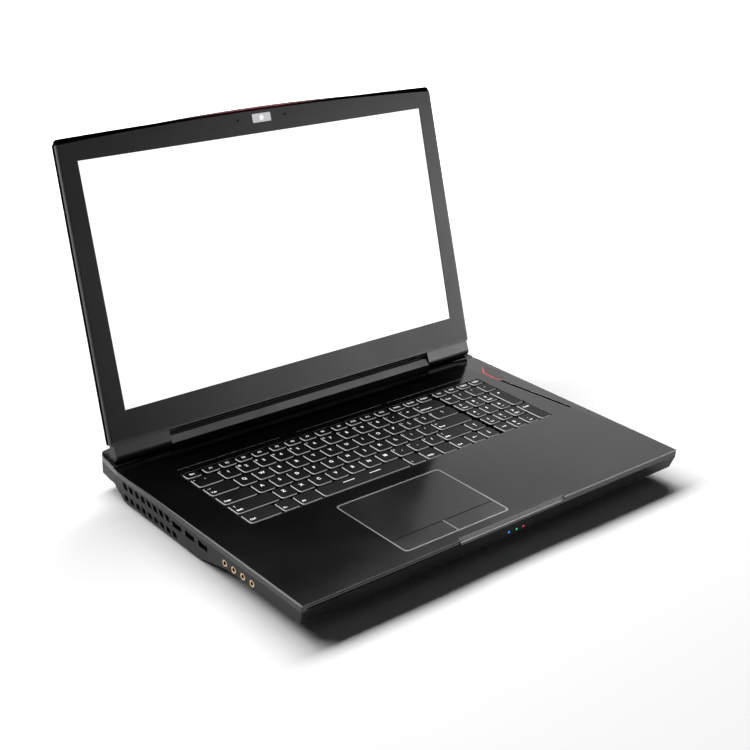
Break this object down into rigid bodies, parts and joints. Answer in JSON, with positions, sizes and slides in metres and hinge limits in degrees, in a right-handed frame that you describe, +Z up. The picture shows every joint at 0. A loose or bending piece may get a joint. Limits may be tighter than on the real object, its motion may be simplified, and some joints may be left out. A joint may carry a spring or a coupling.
{
  "type": "laptop computer",
  "caption": "Large folding laptop computer: wedge-bottomed base with full keyboard, offset touchpad and side vents, and an arched hinged display lid.",
  "frame": {"origin": "on the table, under the middle of the whole machine with its lid at the working angle", "axes": "+X to the user's right, along the width; +Y to the back; +Z up"},
  "size_m": [0.4276, 0.3594, 0.3012],
  "materials": {
    "deck_black": "satin soft-touch",
    "casing_grey": "satin, finely grained",
    "spine_grey": "satin metallic grey",
    "key_black": "satin with light legends",
    "tray_black": "matte",
    "bright_trim": "polished",
    "touch_black": "matte",
    "red_light": "glossy translucent",
    "strip_black": "glossy",
    "status_light": "lit",
    "board_green": "matte",
    "copper": "bare, drawn",
    "fan_black": "matte",
    "battery_wrap": "matte wrap",
    "drive_metal": "brushed",
    "socket_steel": "plated",
    "socket_gold": "plated",
    "foot_rubber": "matte",
    "hinge_steel": "machined",
    "lid_black": "satin",
    "red_trim": "glossy",
    "bezel_grey": "satin",
    "screen": "non-glare",
    "camera_window": "smooth"
  },
  "bodies": {
    "base": {"bottom_cover": "casing_grey", "palm_rest_deck": "deck_black", "rear_vent_cover": "casing_grey", "hinge_spine_cover": "spine_grey", "keyboard_plate": "tray_black", "touchpad_trim": "bright_trim", "touchpad_surface": "touch_black", "power_button_light": "red_light", "front_light_strip": "strip_black", "status_leds": "status_light", "motherboard": "board_green", "processor_heat_sink": "copper", "heat_pipes": "copper", "cooling_fins": "copper", "fan_housings": "fan_black", "battery_pack": "battery_wrap", "storage_drive": "drive_metal", "memory_modules": "board_green", "wireless_card": "board_green", "speakers": "fan_black", "usb_sockets": "socket_steel", "audio_sockets": "socket_gold", "rear_sockets": "socket_steel", "network_socket": "socket_steel", "card_reader": "socket_steel", "rubber_feet": "foot_rubber", "case_screws": "hinge_steel", "hinge_brackets": "hinge_steel", "hinge_pins": "hinge_steel"},
    "lid": {"lid_back_cover": "lid_black", "lid_top_trim": "red_trim", "display_bezel": "bezel_grey", "display_panel": "screen", "webcam_window": "camera_window", "webcam_module": "board_green", "hinge_covers": "spine_grey", "hinge_leaves": "hinge_steel"},
    "function_keys": {"function_keys": "key_black"},
    "navigation_keys": {"navigation_keys": "key_black"},
    "number_row_keys": {"number_row_keys": "key_black"},
    "upper_letter_keys": {"upper_letter_keys": "key_black"},
    "home_letter_keys": {"home_letter_keys": "key_black"},
    "lower_letter_keys": {"lower_letter_keys": "key_black"},
    "modifier_keys": {"modifier_keys": "key_black"},
    "space_bar": {"space_bar": "key_black"},
    "enter_key": {"enter_key": "key_black"},
    "shift_keys": {"shift_keys": "key_black"},
    "backspace_key": {"backspace_key": "key_black"},
    "caps_and_tab_keys": {"caps_and_tab_keys": "key_black"},
    "arrow_keys": {"arrow_keys": "key_black"},
    "number_pad_keys": {"number_pad_keys": "key_black"},
    "number_pad_tall_keys": {"number_pad_tall_keys": "key_black"},
    "power_button": {"power_button": "deck_black"},
    "shortcut_button_front": {"shortcut_button_front": "strip_black"},
    "shortcut_button_middle": {"shortcut_button_middle": "strip_black"},
    "shortcut_button_rear": {"shortcut_button_rear": "strip_black"},
    "touchpad_button_left": {"touchpad_button_left": "touch_black"},
    "touchpad_button_right": {"touchpad_button_right": "touch_black"},
    "fan_rotor_left": {"fan_rotor_left": "fan_black"},
    "fan_rotor_right": {"fan_rotor_right": "fan_black"}
  },
  "joints": [
    {"name": "lid_hinge", "type": "hinge", "parent": "base", "child": "lid", "pos_m": [0, 0.09585, 0.037], "axis": [-1, 0, 0], "range_deg": [-107.2, 22.8]},
    {"name": "function_keys_press", "type": "slide", "parent": "base", "child": "function_keys", "axis": [0, 0, 1], "range_m": [-0.0016, 0], "stiffness_N_per_m": 4800},
    {"name": "navigation_keys_press", "type": "slide", "parent": "base", "child": "navigation_keys", "axis": [0, 0, 1], "range_m": [-0.0016, 0], "stiffness_N_per_m": 1200},
    {"name": "number_row_keys_press", "type": "slide", "parent": "base", "child": "number_row_keys", "axis": [0, 0, 1], "range_m": [-0.0016, 0], "stiffness_N_per_m": 3900},
    {"name": "upper_letter_keys_press", "type": "slide", "parent": "base", "child": "upper_letter_keys", "axis": [0, 0, 1], "range_m": [-0.0016, 0], "stiffness_N_per_m": 3900},
    {"name": "home_letter_keys_press", "type": "slide", "parent": "base", "child": "home_letter_keys", "axis": [0, 0, 1], "range_m": [-0.0016, 0], "stiffness_N_per_m": 3300},
    {"name": "lower_letter_keys_press", "type": "slide", "parent": "base", "child": "lower_letter_keys", "axis": [0, 0, 1], "range_m": [-0.0016, 0], "stiffness_N_per_m": 3000},
    {"name": "modifier_keys_press", "type": "slide", "parent": "base", "child": "modifier_keys", "axis": [0, 0, 1], "range_m": [-0.0016, 0], "stiffness_N_per_m": 2100},
    {"name": "space_bar_press", "type": "slide", "parent": "base", "child": "space_bar", "axis": [0, 0, 1], "range_m": [-0.0016, 0], "stiffness_N_per_m": 300},
    {"name": "enter_key_press", "type": "slide", "parent": "base", "child": "enter_key", "axis": [0, 0, 1], "range_m": [-0.0016, 0], "stiffness_N_per_m": 300},
    {"name": "shift_keys_press", "type": "slide", "parent": "base", "child": "shift_keys", "axis": [0, 0, 1], "range_m": [-0.0016, 0], "stiffness_N_per_m": 600},
    {"name": "backspace_key_press", "type": "slide", "parent": "base", "child": "backspace_key", "axis": [0, 0, 1], "range_m": [-0.0016, 0], "stiffness_N_per_m": 300},
    {"name": "caps_and_tab_keys_press", "type": "slide", "parent": "base", "child": "caps_and_tab_keys", "axis": [0, 0, 1], "range_m": [-0.0016, 0], "stiffness_N_per_m": 600},
    {"name": "arrow_keys_press", "type": "slide", "parent": "base", "child": "arrow_keys", "axis": [0, 0, 1], "range_m": [-0.0016, 0], "stiffness_N_per_m": 1200},
    {"name": "number_pad_keys_press", "type": "slide", "parent": "base", "child": "number_pad_keys", "axis": [0, 0, 1], "range_m": [-0.0016, 0], "stiffness_N_per_m": 4500},
    {"name": "number_pad_tall_keys_press", "type": "slide", "parent": "base", "child": "number_pad_tall_keys", "axis": [0, 0, 1], "range_m": [-0.0016, 0], "stiffness_N_per_m": 600},
    {"name": "power_button_press", "type": "slide", "parent": "base", "child": "power_button", "axis": [0, 0, 1], "range_m": [-0.0006, 0], "stiffness_N_per_m": 800},
    {"name": "shortcut_button_front_press", "type": "slide", "parent": "base", "child": "shortcut_button_front", "axis": [0, 0, 1], "range_m": [-0.0006, 0], "stiffness_N_per_m": 800},
    {"name": "shortcut_button_middle_press", "type": "slide", "parent": "base", "child": "shortcut_button_middle", "axis": [0, 0, 1], "range_m": [-0.0006, 0], "stiffness_N_per_m": 800},
    {"name": "shortcut_button_rear_press", "type": "slide", "parent": "base", "child": "shortcut_button_rear", "axis": [0, 0, 1], "range_m": [-0.0006, 0], "stiffness_N_per_m": 800},
    {"name": "touchpad_button_left_press", "type": "slide", "parent": "base", "child": "touchpad_button_left", "axis": [0, 0, 1], "range_m": [-0.0006, 0], "stiffness_N_per_m": 1200},
    {"name": "touchpad_button_right_press", "type": "slide", "parent": "base", "child": "touchpad_button_right", "axis": [0, 0, 1], "range_m": [-0.0006, 0], "stiffness_N_per_m": 1200},
    {"name": "fan_rotor_left_spin", "type": "hinge", "parent": "base", "child": "fan_rotor_left", "pos_m": [-0.14775, 0.03426, 0.0105], "axis": [0, 0, 1], "continuous": true},
    {"name": "fan_rotor_right_spin", "type": "hinge", "parent": "base", "child": "fan_rotor_right", "pos_m": [0.14775, 0.03426, 0.0105], "axis": [0, 0, 1], "continuous": true}
  ]
}
